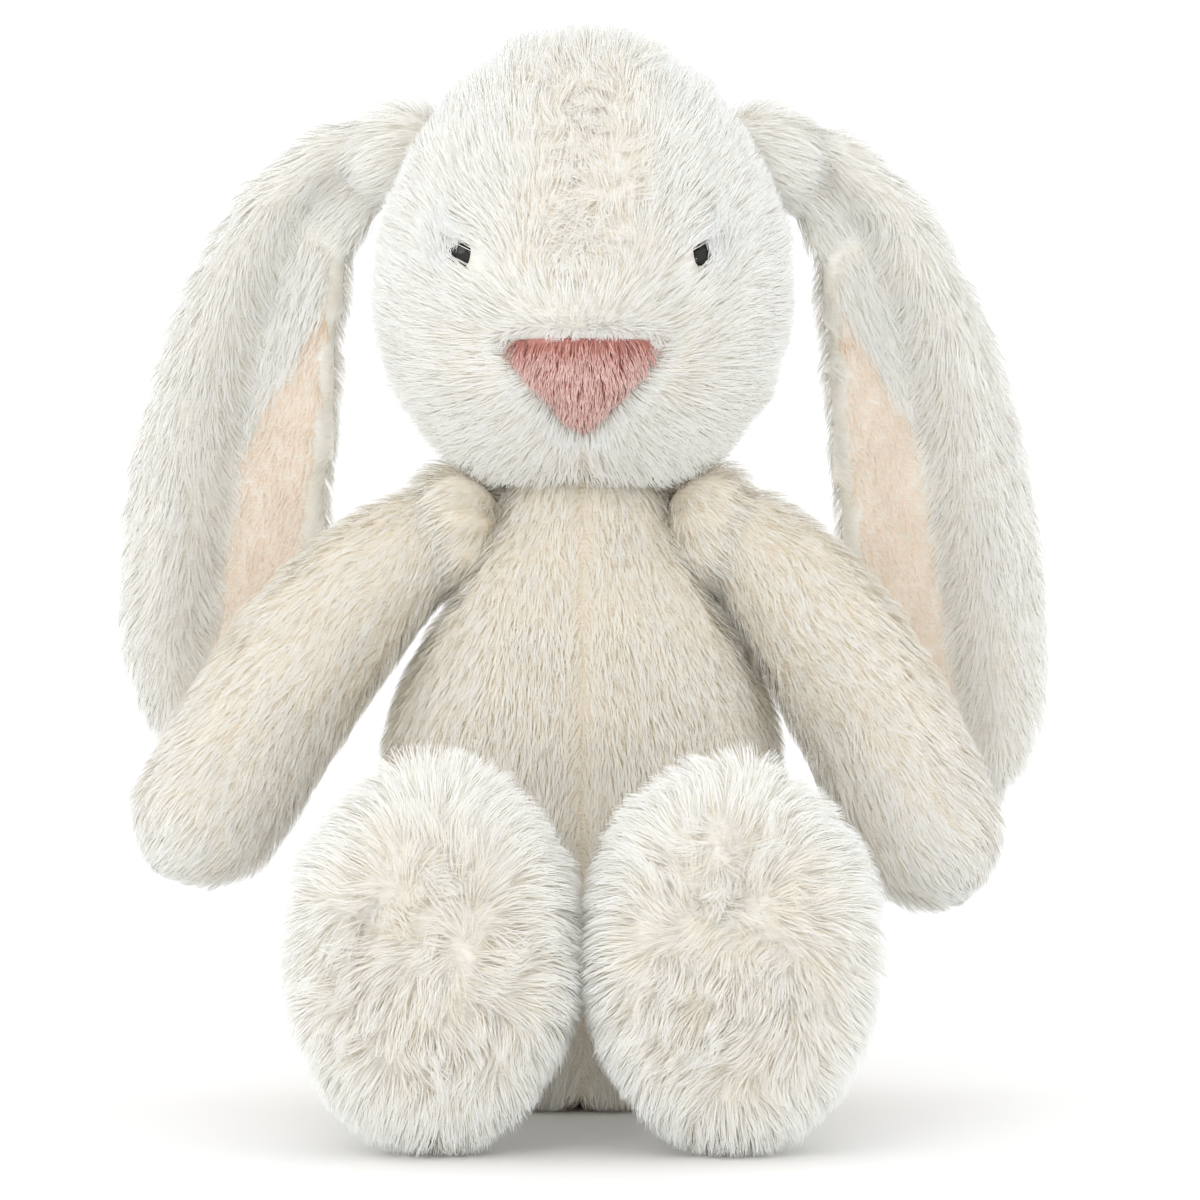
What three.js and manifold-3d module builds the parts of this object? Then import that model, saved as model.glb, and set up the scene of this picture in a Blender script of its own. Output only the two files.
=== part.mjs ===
// A seated, lop-eared stuffed bunny rabbit in long-pile plush.
// Millimetres, +Z up. The toy faces -Y, its own left side is +X, and it sits on z = 0.
// Every fabric panel is a thick skin: woven backing and standing pile together.
import * as THREE from 'three';
import { mergeVertices } from 'three/addons/utils/BufferGeometryUtils.js';
import Module from 'manifold-3d';

const wasm = await Module();
wasm.setup();

// ---- driving dimensions -------------------------------------------------------------------

const SEAM_GAP = 0.3; // between two sewn panels, and between a panel and its filling
const SEAT_Y = 27; // the torso's axis lies this far behind the middle of the toy's depth
const THREAD = 0.5; // radius of a round of ladder stitches
const BALL_PLAY = 2.4; // between a limb's round end and the hollow it turns in
const SIDES = { left: 1, right: -1 };

const HEAD = {
  centre: [0, SEAT_Y - 7, 217], halfWidth: 54, halfDepth: 47, halfHeight: 61,
  cheeks: 0.07, skin: 6, gussetHalfWidth: 22, rings: 8, sides: 18,
};
const MUZZLE = { out: 11, spread: 0.5, height: -27 };
const NOSE = { top: 199, bottom: 174.5, halfWidth: 20, corner: 5, depth: 60, ahead: 24 };
const EYE = {
  x: 33, z: 220, radius: 5.2, dome: 3.6, shank: 1.6, shankLength: 11,
  washer: 7, washerThick: 1.2, sunk: 3.2, play: 0.4,
};
const NECK = { pivot: [0, SEAT_Y - 2, 152], ball: 25, ringUp: 14 };

const TORSO = {
  skin: 5, sides: 18, seatHeight: 9,
  // height, half width, half depth from the seat to the foot of the neck
  profile: [
    [0, 38, 30], [6, 47, 36], [20, 53, 40], [45, 56, 42], [75, 55, 41.5],
    [100, 52, 39], [122, 46, 35], [140, 37, 30], [152, 25, 25],
  ],
};
const POUCH = { centre: [0, SEAT_Y + 4, 27], halves: [26, 20, 15], fabric: 1.5, neck: 5 };
const TAIL = { centre: [0, SEAT_Y + 49, 40], radius: 17, skin: 5 };

const EAR = {
  pivot: [47, SEAT_Y + 4, 250], root: 13, play: 0.6, skin: 5.5, lining: 3.2, cup: 7,
  // the outer panel's far edge rolls forward this much, over the share of the width from rollFrom
  roll: 9, rollFrom: 0.05, edge: 1.2,
  // the ear is drawn on a grid of cells, and its lining covers part of it
  along: 11, across: 8, rim: 1, liningFrom: 2, liningTo: 10,
  // the middle line from the root to the tip, measured from the torso's axis
  line: [
    [47, 4, 250], [60, 8, 247], [74, 14, 233], [84, 22, 209], [90, 28, 184],
    [94, 31, 160], [98, 33, 134], [102, 33, 108], [104, 32, 80],
  ],
  halfWidth: [11, 15, 20, 25, 28, 29, 27.5, 23, 4],
  // how far down each ear hangs, as a share of the drawn line's drop
  hang: { left: 1.06, right: 0.97 },
};
const ARM = {
  pivot: [41, SEAT_Y - 5, 148], ball: 15, skin: 5, rings: 8, sides: 10,
  // the middle line from the shoulder to the paw, measured from the torso's axis
  line: [[41, -5, 148], [58, -11, 132], [77, -17, 104], [93, -22, 74]],
  radii: [15, 19, 20.5, 20.5, 20.5],
  ringIn: 10.2, spread: { left: 3, right: 3 }, armpit: 6,
};
const LEG = {
  pivot: [33, SEAT_Y - 36, 36], ball: 20, skin: 5.5, rings: 5, sides: 10,
  line: [[33, -36, 36], [34, -60, 38], [36, -92, 42]],
  radii: [17.5, 20, 23], ringIn: 8,
};
const FOOT = {
  centre: [36.4, SEAT_Y - 103.5, 47.1], halves: [35.4, 15.5, 47], lean: 5,
  soleBack: 4.5, flatness: 0.82,
};
// vent: half the width of the opening in the stuffing through which a bag is pushed into the foot
const PELLET_BAG = { halves: [17, 6, 12], drop: 18, vent: 2 };

const COLOURS = {
  cream: 0xf1eee6, belly: 0xece5d8, lining: 0xe3c9ae, rose: 0xd9a39c, eye: 0x0b0908,
  washer: 0x1c1c1e, filling: 0xfbfaf6, thread: 0xe8e0d0, pouch: 0xe6e2d8, pellets: 0xd8dde0,
};

// ---- geometry helpers ---------------------------------------------------------------------

const vec = (p) => new THREE.Vector3(...p);
const mix = THREE.MathUtils.lerp;
const radians = THREE.MathUtils.degToRad;

// A point of one side's drawing, moved to the toy's left (side 1) or right (side -1).
const onSide = (p, side) => vec([p[0] * side, p[1], p[2]]);
const behindSeat = (p) => [p[0], p[1] + SEAT_Y, p[2]];

function geometryOf(points, faces) {
  const geometry = new THREE.BufferGeometry();
  const flat = points.flatMap((p) => [p.x, p.y, p.z]);
  geometry.setAttribute('position', new THREE.Float32BufferAttribute(flat, 3));
  geometry.setIndex(faces.flat());
  return geometry;
}

// A three.js geometry as a solid that can be joined and cut.
function solid(geometry) {
  const bare = geometry.clone();
  bare.deleteAttribute('normal');
  bare.deleteAttribute('uv');
  const merged = mergeVertices(bare, 1e-4);
  const index = merged.index.array;
  const at = merged.attributes.position;
  const corner = [0, 1, 2].map(() => new THREE.Vector3());
  const kept = [];
  let volume = 0;
  for (let i = 0; i < index.length; i += 3) {
    const face = [index[i], index[i + 1], index[i + 2]];
    if (new Set(face).size < 3) continue;
    face.forEach((v, k) => corner[k].fromBufferAttribute(at, v));
    volume += corner[0].dot(corner[1].clone().cross(corner[2]));
    kept.push(face);
  }
  const outward = volume < 0 ? kept.map(([a, b, c]) => [a, c, b]) : kept;
  return new wasm.Manifold(new wasm.Mesh({
    numProp: 3,
    vertProperties: new Float32Array(at.array),
    triVerts: new Uint32Array(outward.flat()),
  }));
}

function geometryFrom(manifold) {
  const mesh = manifold.getMesh();
  const geometry = new THREE.BufferGeometry();
  geometry.setAttribute('position', new THREE.BufferAttribute(mesh.vertProperties, 3));
  geometry.setIndex(new THREE.BufferAttribute(mesh.triVerts, 1));
  geometry.computeVertexNormals();
  return geometry;
}

// A closed surface through rings of points, with a single point closing each end.
function ringBody(start, rings, end) {
  const count = rings[0].length;
  const points = [start, ...rings.flat(), end];
  const last = points.length - 1;
  const faces = [];
  for (let j = 0; j < count; j += 1) {
    const next = (j + 1) % count;
    faces.push([0, 1 + next, 1 + j]);
    for (let i = 0; i + 1 < rings.length; i += 1) {
      const low = 1 + i * count;
      const high = low + count;
      faces.push([low + j, low + next, high + next], [low + j, high + next, high + j]);
    }
    const top = 1 + (rings.length - 1) * count;
    faces.push([last, top + j, top + next]);
  }
  return geometryOf(points, faces);
}

// A sheet with a front and a back surface, closed round its four edges.
function thickSheet(across, along, front, back) {
  const row = across + 1;
  const points = [];
  for (const surface of [front, back]) {
    for (let i = 0; i <= along; i += 1) {
      for (let j = 0; j <= across; j += 1) points.push(surface(j / across, i / along));
    }
  }
  const half = points.length / 2;
  const faces = [];
  for (let i = 0; i < along; i += 1) {
    for (let j = 0; j < across; j += 1) {
      const a = i * row + j;
      faces.push([a, a + 1, a + row + 1], [a, a + row + 1, a + row]);
      const b = half + a;
      faces.push([b, b + row + 1, b + 1], [b, b + row, b + row + 1]);
    }
  }
  const edge = [];
  for (let j = 0; j < across; j += 1) edge.push(j);
  for (let i = 0; i < along; i += 1) edge.push(i * row + across);
  for (let j = across; j > 0; j -= 1) edge.push(along * row + j);
  for (let i = along; i > 0; i -= 1) edge.push(i * row);
  edge.forEach((a, k) => {
    const b = edge[(k + 1) % edge.length];
    faces.push([a, half + a, b], [b, half + a, half + b]);
  });
  return geometryOf(points, faces);
}

const ball = (centre, radius, sides = 12) => {
  const geometry = new THREE.SphereGeometry(radius, sides, sides / 2);
  return solid(geometry.translate(centre.x, centre.y, centre.z));
};

// A faceted ball whose flats clear the true sphere, for a hollow that something turns in.
const roomForBall = (centre, radius, sides = 12) => (
  ball(centre, radius / Math.cos(Math.PI / sides) ** 2, sides)
);

const block = (low, high) => {
  const size = high.clone().sub(low);
  const middle = low.clone().add(high).multiplyScalar(0.5);
  const geometry = new THREE.BoxGeometry(size.x, size.y, size.z);
  return solid(geometry.translate(middle.x, middle.y, middle.z));
};

const FAR = 400;
// Everything on one side of a plane square to one of the axes.
function halfSpace(axis, from, direction) {
  const low = new THREE.Vector3(-FAR, -FAR, -FAR);
  const high = new THREE.Vector3(FAR, FAR, FAR);
  (direction > 0 ? low : high)[axis] = from;
  return block(low, high);
}

// An egg with one flattened pair of faces; flatness 1 is a true ellipsoid.
function oval(centre, halves, inset, flatness = 1, sides = 12) {
  const rings = [];
  const half = halves.map((h) => h - inset);
  const place = (polar, turn) => {
    const round = Math.sin(polar) ** flatness;
    const face = Math.sign(Math.cos(polar)) * Math.abs(Math.cos(polar)) ** flatness;
    return new THREE.Vector3(
      centre.x + half[0] * round * Math.cos(turn),
      centre.y + half[1] * face,
      centre.z + half[2] * round * Math.sin(turn),
    );
  };
  const bands = sides / 2;
  for (let i = 1; i < bands; i += 1) {
    const polar = (Math.PI * i) / bands;
    rings.push(Array.from({ length: sides }, (_, j) => place(polar, (2 * Math.PI * j) / sides)));
  }
  return ringBody(place(0, 0), rings, place(Math.PI, 0));
}

// A number read off a list of evenly spaced values.
function along(values, share) {
  const at = THREE.MathUtils.clamp(share, 0, 1) * (values.length - 1);
  const i = Math.min(Math.floor(at), values.length - 2);
  return mix(values[i], values[i + 1], at - i);
}

// A stuffed limb: a round tube along a curve, with a round end at its root and at its tip.
function limb(spec, side, inset) {
  const curve = new THREE.CatmullRomCurve3(spec.line.map((p) => onSide(behindSeat(p), side)));
  const length = curve.getLength();
  const root = spec.radii[0] - inset;
  const tip = spec.radii[spec.radii.length - 1] - inset;
  const up = new THREE.Vector3(0, 1, 0);
  const rings = [];
  const stationAt = (s) => {
    const share = THREE.MathUtils.clamp(s / length, 0, 1);
    const ahead = curve.getTangentAt(share);
    const past = Math.min(s, 0) + Math.max(s - length, 0);
    return { centre: curve.getPointAt(share).addScaledVector(ahead, past), ahead, share, past };
  };
  for (let i = 1; i <= spec.rings; i += 1) {
    const turn = (Math.PI * i) / (spec.rings + 1);
    const s = mix(-root, length + tip, (1 - Math.cos(turn)) / 2);
    const { centre, ahead, share, past } = stationAt(s);
    const end = past < 0 ? root : tip;
    const radius = past === 0 ? along(spec.radii, share) - inset : Math.sqrt(end * end - past * past);
    const u = new THREE.Vector3().crossVectors(up, ahead).normalize();
    const v = new THREE.Vector3().crossVectors(ahead, u);
    rings.push(Array.from({ length: spec.sides }, (_, j) => {
      const round = (2 * Math.PI * j) / spec.sides;
      return centre.clone()
        .addScaledVector(u, radius * Math.cos(round))
        .addScaledVector(v, radius * Math.sin(round));
    }));
  }
  return ringBody(stationAt(-root).centre, rings, stationAt(length + tip).centre);
}

// A round of stitches: a ring on the ball's surface, square to a direction.
function stitches(pivot, ballRadius, direction, offset) {
  const onBall = ballRadius + BALL_PLAY / 2;
  const radius = Math.sqrt(onBall * onBall - offset * offset);
  const geometry = new THREE.TorusGeometry(radius, THREAD, 4, 14);
  const turn = new THREE.Quaternion().setFromUnitVectors(new THREE.Vector3(0, 0, 1), direction);
  geometry.applyQuaternion(turn);
  const centre = pivot.clone().addScaledVector(direction, offset);
  return geometry.translate(centre.x, centre.y, centre.z);
}

// ---- the scene ----------------------------------------------------------------------------

const rabbit = new THREE.Group();

function add(name, shape, colour, roughness = 0.95) {
  const geometry = shape.isBufferGeometry ? shape : geometryFrom(shape);
  geometry.computeVertexNormals();
  const material = new THREE.MeshStandardMaterial({ color: COLOURS[colour], roughness, metalness: 0 });
  const mesh = new THREE.Mesh(geometry, material);
  mesh.name = name;
  rabbit.add(mesh);
}

const pivotOf = (spec, side = 1) => onSide(spec.pivot, side);
const swing = (manifold, pivot, degrees) => {
  const matrix = new THREE.Matrix4().makeTranslation(pivot)
    .multiply(new THREE.Matrix4().makeRotationY(radians(degrees)))
    .multiply(new THREE.Matrix4().makeTranslation(pivot.clone().negate()));
  return solid(geometryFrom(manifold).applyMatrix4(matrix));
};

// ---- head ---------------------------------------------------------------------------------

function headShape(inset) {
  const [cx, cy, cz] = HEAD.centre;
  const place = (polar, turn) => {
    const high = Math.cos(polar);
    const round = Math.sin(polar);
    const front = Math.max(0, -Math.sin(turn) * round);
    const rise = high * HEAD.halfHeight - MUZZLE.height;
    const side = (round * Math.cos(turn)) / MUZZLE.spread;
    const bulge = MUZZLE.out * front * Math.exp(-side * side - (rise / 30) ** 2);
    const wide = (HEAD.halfWidth - inset) * (1 - HEAD.cheeks * high);
    return new THREE.Vector3(
      cx + wide * round * Math.cos(turn),
      cy + (HEAD.halfDepth - inset) * round * Math.sin(turn) - bulge,
      cz + (HEAD.halfHeight - inset) * high,
    );
  };
  const rings = [];
  for (let i = 1; i <= HEAD.rings; i += 1) {
    const polar = (Math.PI * i) / (HEAD.rings + 1);
    const ring = Array.from({ length: HEAD.sides }, (_, j) => place(polar, (2 * Math.PI * j) / HEAD.sides));
    rings.push(ring);
  }
  return solid(ringBody(place(0, 0), rings, place(Math.PI, 0)));
}

// The rounded triangle of the nose, run through the front of the head's skin.
function noseBlock(grow) {
  const { top, bottom, halfWidth, corner, depth, ahead } = NOSE;
  const shape = new THREE.Shape();
  const half = halfWidth + grow;
  const high = top + grow;
  const low = bottom - grow;
  shape.moveTo(-half + corner, high);
  shape.lineTo(half - corner, high);
  shape.quadraticCurveTo(half, high, half - corner * 0.35, high - corner);
  shape.lineTo(corner * 0.8, low + corner * 0.7);
  shape.quadraticCurveTo(0, low, -corner * 0.8, low + corner * 0.7);
  shape.lineTo(-half + corner * 0.35, high - corner);
  shape.quadraticCurveTo(-half, high, -half + corner, high);
  const geometry = new THREE.ExtrudeGeometry(shape, { depth, bevelEnabled: false, curveSegments: 3 });
  geometry.rotateX(Math.PI / 2);
  return solid(geometry.translate(0, HEAD.centre[1] - ahead, 0));
}

// The strip over the crown, from the top of the nose to the nape.
function gussetBlock(grow) {
  const half = HEAD.gussetHalfWidth + grow;
  const front = block(vec([-half, -FAR, NOSE.top - 4 - grow]), vec([half, HEAD.centre[1], FAR]));
  const back = block(vec([-half, HEAD.centre[1] - 1, -FAR]), vec([half, FAR, FAR]));
  return front.add(back);
}

function eyeDirection(side) {
  const [, cy, cz] = HEAD.centre;
  const across = EYE.x / HEAD.halfWidth;
  const up = (EYE.z - cz) / HEAD.halfHeight;
  const deep = Math.sqrt(1 - across * across - up * up);
  const surface = vec([EYE.x * side, cy - HEAD.halfDepth * deep, EYE.z]);
  const facing = vec([
    (side * across) / HEAD.halfWidth, -deep / HEAD.halfDepth, up / HEAD.halfHeight,
  ]).normalize();
  return { surface, facing };
}

// A turned piece on the eye's axis; profile heights are measured outward from the skin.
function eyeTurned(profile, side) {
  const { surface, facing } = eyeDirection(side);
  const geometry = new THREE.LatheGeometry(profile.map(([r, h]) => new THREE.Vector2(r, h)), 10);
  const turn = new THREE.Quaternion().setFromUnitVectors(new THREE.Vector3(0, 1, 0), facing);
  return geometry.applyQuaternion(turn).translate(surface.x, surface.y, surface.z);
}

function buildEye(label, side) {
  const base = -EYE.sunk;
  const tail = base - EYE.shankLength;
  const dome = Array.from({ length: 5 }, (_, i) => {
    const rise = (Math.PI / 2) * (i / 4);
    return [EYE.radius * Math.cos(rise), base + EYE.dome * Math.sin(rise)];
  });
  dome[dome.length - 1][0] = 0;
  const button = [[0, tail], [EYE.shank, tail], [EYE.shank, base], ...dome];
  add(`eye_${label}`, eyeTurned(button, side), 'eye', 0.12);

  const hole = EYE.shank + SEAM_GAP;
  const front = -HEAD.skin - SEAM_GAP;
  const rear = front - EYE.washerThick;
  const washer = [[hole, front], [hole, rear], [EYE.washer, rear], [EYE.washer, front], [hole, front]];
  add(`eye_washer_${label}`, eyeTurned(washer, side), 'washer', 0.5);

  const socket = [
    [0, tail - 1], [hole, tail - 1], [hole, base - SEAM_GAP],
    [EYE.radius + EYE.play, base - SEAM_GAP], [EYE.radius + EYE.play, 20], [0, 20],
  ];
  const room = EYE.washer + SEAM_GAP;
  const roomTo = (height) => {
    const around = [[0, tail - 1], [room, tail - 1], [room, height], [0, height]];
    return solid(eyeTurned(around, side));
  };
  const socketCut = solid(eyeTurned(socket, side)).add(roomTo(front + SEAM_GAP));
  return { socket: socketCut, inside: roomTo(0) };
}

function buildHead() {
  const pocket = NECK.ball + BALL_PLAY;
  const neck = (extra) => roomForBall(pivotOf(NECK), pocket + extra, 14);
  const ears = (extra) => roomForBall(pivotOf(EAR, 1), EAR.root + EAR.play + extra)
    .add(roomForBall(pivotOf(EAR, -1), EAR.root + EAR.play + extra));
  const eyes = Object.entries(SIDES).map(([label, side]) => buildEye(label, side));

  let skin = headShape(0).subtract(neck(0)).subtract(ears(0));
  const wall = HEAD.skin * 0.6;
  skin = skin.subtract(headShape(HEAD.skin).subtract(neck(wall)).subtract(ears(wall)));
  for (const eye of eyes) skin = skin.subtract(eye.socket);

  const gap = SEAM_GAP / 2;
  const above = skin.subtract(noseBlock(SEAM_GAP));
  const sides = above.subtract(gussetBlock(SEAM_GAP));
  add('head_gusset', above.intersect(gussetBlock(0)), 'cream');
  add('head_side_left', sides.intersect(halfSpace('x', gap, 1)), 'cream');
  add('head_side_right', sides.intersect(halfSpace('x', -gap, -1)), 'cream');
  add('nose_patch', skin.intersect(noseBlock(0)), 'rose');

  let filling = headShape(HEAD.skin + SEAM_GAP);
  filling = filling.subtract(neck(wall + SEAM_GAP)).subtract(ears(wall + SEAM_GAP));
  for (const eye of eyes) filling = filling.subtract(eye.inside);
  add('head_stuffing', filling, 'filling');
  add('neck_stitching', stitches(pivotOf(NECK), NECK.ball, vec([0, 0, 1]), NECK.ringUp), 'thread');
}

// ---- ears ---------------------------------------------------------------------------------

// The ear's middle surface: share 0 to 1 from root to tip, wide -1 to 1 from edge to edge.
function earFrame(side, share, wide, lift) {
  const root = pivotOf(EAR, side);
  const hang = side > 0 ? EAR.hang.left : EAR.hang.right;
  const hung = (p) => {
    const point = onSide(behindSeat(p), side);
    return point.setZ(mix(root.z, point.z, hang));
  };
  const curve = new THREE.CatmullRomCurve3(EAR.line.map(hung));
  const middle = curve.getPointAt(share);
  const ahead = curve.getTangentAt(share);
  const rearward = new THREE.Vector3(0, 1, 0);
  const out = new THREE.Vector3().crossVectors(ahead, rearward).normalize();
  const normal = new THREE.Vector3().crossVectors(out, ahead).normalize();
  const back = normal.y < 0 ? normal.negate() : normal;
  const half = along(EAR.halfWidth, share);
  const cupped = EAR.cup * Math.min(1, half / 20) * wide * wide;
  return middle.addScaledVector(out, half * wide).addScaledVector(back, lift - cupped);
}

// How far the outer panel's front stands forward where its far edge rolls over.
function rollHeight(side, share, wide) {
  const across = (wide * side - EAR.rollFrom) / (1 - EAR.rollFrom);
  const ends = Math.sin(Math.PI * THREE.MathUtils.clamp(share, 0, 1)) ** 0.5;
  return across <= 0 ? 0 : EAR.roll * ends * Math.sqrt(Math.max(0, 1 - (2 * across - 1) ** 2));
}

function buildEar(label, side) {
  const edge = (wide) => Math.sqrt(Math.max(0, 1 - wide ** 4));
  const outer = thickSheet(
    EAR.across, EAR.along,
    (a, s) => earFrame(side, s, 2 * a - 1, -rollHeight(side, s, 2 * a - 1)),
    (a, s) => earFrame(side, s, 2 * a - 1, mix(EAR.edge, EAR.skin, edge(2 * a - 1))),
  );
  const root = ball(pivotOf(EAR, side), EAR.root);
  add(`ear_outer_${label}`, solid(outer).add(root), 'cream');

  const span = (s) => mix(EAR.liningFrom, EAR.liningTo, s) / EAR.along;
  const nearEdge = -(1 - (2 * EAR.rim) / EAR.across) * side;
  const narrow = (a) => (side > 0 ? mix(nearEdge, 0, a) : mix(0, nearEdge, a));
  const lining = thickSheet(
    EAR.across / 2 - EAR.rim, EAR.liningTo - EAR.liningFrom,
    (a, s) => earFrame(side, span(s), narrow(a), -SEAM_GAP - EAR.lining),
    (a, s) => earFrame(side, span(s), narrow(a), -SEAM_GAP),
  );
  const clearRoot = roomForBall(pivotOf(EAR, side), EAR.root + SEAM_GAP);
  add(`ear_lining_${label}`, solid(lining).subtract(clearRoot), 'lining');
}

// ---- arms ---------------------------------------------------------------------------------

function buildArm(label, side) {
  const pivot = pivotOf(ARM, side);
  const posed = (inset) => swing(solid(limb(ARM, side, inset)), pivot, ARM.spread[label]);
  const skin = posed(0).subtract(posed(ARM.skin));
  // the side seams lie in the plane that holds the arm's middle line and the X axis
  const [start, end] = [ARM.line[0], ARM.line[ARM.line.length - 1]];
  const tilt = Math.atan2(end[1] - start[1], start[2] - end[2]);
  const behind = (from, direction) => {
    const cut = new THREE.BoxGeometry(FAR, FAR, FAR);
    cut.translate(0, direction * (FAR / 2 + from), 0);
    cut.rotateX(tilt);
    return solid(cut.translate(pivot.x, pivot.y, pivot.z));
  };
  add(`arm_front_${label}`, skin.intersect(behind(SEAM_GAP / 2, -1)), 'belly');
  add(`arm_back_${label}`, skin.intersect(behind(SEAM_GAP / 2, 1)), 'belly');
  add(`arm_stuffing_${label}`, posed(ARM.skin + SEAM_GAP), 'filling');
  const inward = vec([-side, 0, 0]);
  add(`shoulder_stitching_${label}`, stitches(pivot, ARM.ball, inward, ARM.ringIn), 'thread');
}

// The hollow beside the torso that the arm swings forward and back in, a dish round the
// shoulder's X axis, as deep as the arm's inner edge reaches.
function armpit(side, extra) {
  const [start, next] = [vec(ARM.line[0]), vec(ARM.line[2])];
  const lean = next.sub(start).normalize();
  const cotangent = lean.x / Math.hypot(lean.y, lean.z);
  const deepest = ARM.ball * Math.hypot(1, cotangent) + ARM.armpit + extra;
  const reach = (distance) => deepest - distance * cotangent;
  const rim = 70;
  const outside = -60;
  const profile = [
    [0, outside], [rim, outside], [rim, reach(rim)], [ARM.ball, reach(ARM.ball)], [0, reach(ARM.ball)],
  ];
  const geometry = new THREE.LatheGeometry(profile.map(([r, h]) => new THREE.Vector2(r, h)), 12);
  geometry.rotateZ((side * Math.PI) / 2);
  const pivot = pivotOf(ARM, side);
  return solid(geometry.translate(pivot.x, pivot.y, pivot.z));
}

// ---- legs ---------------------------------------------------------------------------------

function footShape(side, inset) {
  const centre = onSide(FOOT.centre, side);
  const geometry = oval(new THREE.Vector3(), FOOT.halves, inset, FOOT.flatness, 14);
  geometry.rotateX(radians(-FOOT.lean));
  return solid(geometry.translate(centre.x, centre.y, centre.z));
}

function legShape(side, inset) {
  const hip = ball(pivotOf(LEG, side), LEG.ball - inset);
  return solid(limb(LEG, side, inset)).add(footShape(side, inset)).add(hip);
}

function buildLeg(label, side) {
  const skin = legShape(side, 0).subtract(legShape(side, LEG.skin));
  const soleEdge = FOOT.centre[1] - FOOT.soleBack;
  const sleeve = skin.intersect(halfSpace('y', soleEdge + SEAM_GAP, 1));
  const middle = LEG.pivot[0] * side;
  const away = (side * SEAM_GAP) / 2;
  add(`leg_outer_${label}`, sleeve.intersect(halfSpace('x', middle + away, side)), 'cream');
  add(`leg_inner_${label}`, sleeve.intersect(halfSpace('x', middle - away, -side)), 'cream');
  add(`foot_sole_${label}`, skin.intersect(halfSpace('y', soleEdge, -1)), 'cream');

  const heel = onSide(FOOT.centre, side).add(vec([0, 0, -PELLET_BAG.drop]));
  const bag = (grow) => solid(oval(heel, PELLET_BAG.halves, -grow, 1, 10));
  add(`foot_pellets_${label}`, bag(0), 'pellets');
  const vent = PELLET_BAG.vent;
  const ventLow = heel.clone().add(vec([-vent, -FAR, -vent]));
  const opening = block(ventLow, heel.clone().add(vec([vent, 0, vent])));
  const filling = legShape(side, LEG.skin + SEAM_GAP).subtract(bag(SEAM_GAP).add(opening));
  add(`leg_stuffing_${label}`, filling, 'filling');
  add(`hip_stitching_${label}`, stitches(pivotOf(LEG, side), LEG.ball, vec([0, 1, 0]), LEG.ringIn), 'thread');
}

// ---- torso and tail -----------------------------------------------------------------------

function torsoShape(inset) {
  const heights = TORSO.profile.map((row) => row[0]);
  const top = heights[heights.length - 1];
  const rings = [];
  const base = new THREE.Vector3(0, SEAT_Y, inset);
  for (const [height, halfWidth, halfDepth] of TORSO.profile) {
    const z = mix(inset, top, height / top);
    rings.push(Array.from({ length: TORSO.sides }, (_, j) => {
      const turn = (2 * Math.PI * j) / TORSO.sides;
      const lean = mix(0, NECK.pivot[1] - SEAT_Y, height / top);
      return new THREE.Vector3(
        (halfWidth - inset) * Math.cos(turn),
        SEAT_Y + lean + (halfDepth - inset) * Math.sin(turn),
        z,
      );
    }));
  }
  const shoulders = solid(ringBody(base, rings, vec([...NECK.pivot])));
  return shoulders.add(ball(pivotOf(NECK), NECK.ball - inset, 14));
}

function hollows(extra) {
  let cut = roomForBall(vec(TAIL.centre), TAIL.radius + SEAM_GAP + extra);
  for (const side of Object.values(SIDES)) {
    cut = cut.add(roomForBall(pivotOf(ARM, side), ARM.ball + BALL_PLAY + extra));
    cut = cut.add(roomForBall(pivotOf(LEG, side), LEG.ball + BALL_PLAY + extra));
    cut = cut.add(armpit(side, extra));
  }
  return cut;
}

function buildTorso() {
  const wall = TORSO.skin * 0.7;
  const skin = torsoShape(0).subtract(hollows(0))
    .subtract(torsoShape(TORSO.skin).subtract(hollows(wall)));
  const gap = SEAM_GAP / 2;
  const tube = skin.intersect(halfSpace('z', TORSO.seatHeight + SEAM_GAP, 1));
  const front = tube.intersect(halfSpace('y', SEAT_Y - gap, -1));
  const back = tube.intersect(halfSpace('y', SEAT_Y + gap, 1));
  for (const [label, side] of Object.entries(SIDES)) {
    const half = halfSpace('x', side * gap, side);
    add(`belly_${label}`, front.intersect(half), 'belly');
    add(`back_${label}`, back.intersect(half), 'belly');
  }
  add('seat_panel', skin.intersect(halfSpace('z', TORSO.seatHeight, -1)), 'belly');

  const centre = vec(POUCH.centre);
  const pouch = (inset) => solid(oval(centre, POUCH.halves, inset, 1, 12));
  const neckLow = centre.clone().add(vec([-POUCH.neck, -POUCH.neck, -FAR]));
  const neckHigh = centre.clone().add(vec([POUCH.neck, POUCH.neck, -POUCH.halves[2] / 2]));
  const mouth = block(neckLow, neckHigh);
  const filling = torsoShape(TORSO.skin + SEAM_GAP).subtract(hollows(wall + SEAM_GAP));
  add('torso_stuffing', filling.subtract(pouch(-SEAM_GAP).add(mouth)), 'filling');
  add('pellet_pouch', pouch(0).subtract(pouch(POUCH.fabric)).subtract(mouth), 'pouch');
  add('pellet_fill', pouch(POUCH.fabric + SEAM_GAP), 'pellets');
}

function buildTail() {
  const centre = vec(TAIL.centre);
  const skin = ball(centre, TAIL.radius).subtract(ball(centre, TAIL.radius - TAIL.skin));
  add('tail_upper', skin.intersect(halfSpace('z', centre.z + SEAM_GAP / 2, 1)), 'cream');
  add('tail_lower', skin.intersect(halfSpace('z', centre.z - SEAM_GAP / 2, -1)), 'cream');
  add('tail_stuffing', ball(centre, TAIL.radius - TAIL.skin - SEAM_GAP), 'filling');
}

buildHead();
buildTorso();
buildTail();
for (const [label, side] of Object.entries(SIDES)) {
  buildEar(label, side);
  buildArm(label, side);
  buildLeg(label, side);
}

export default rabbit;
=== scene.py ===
import math

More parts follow.
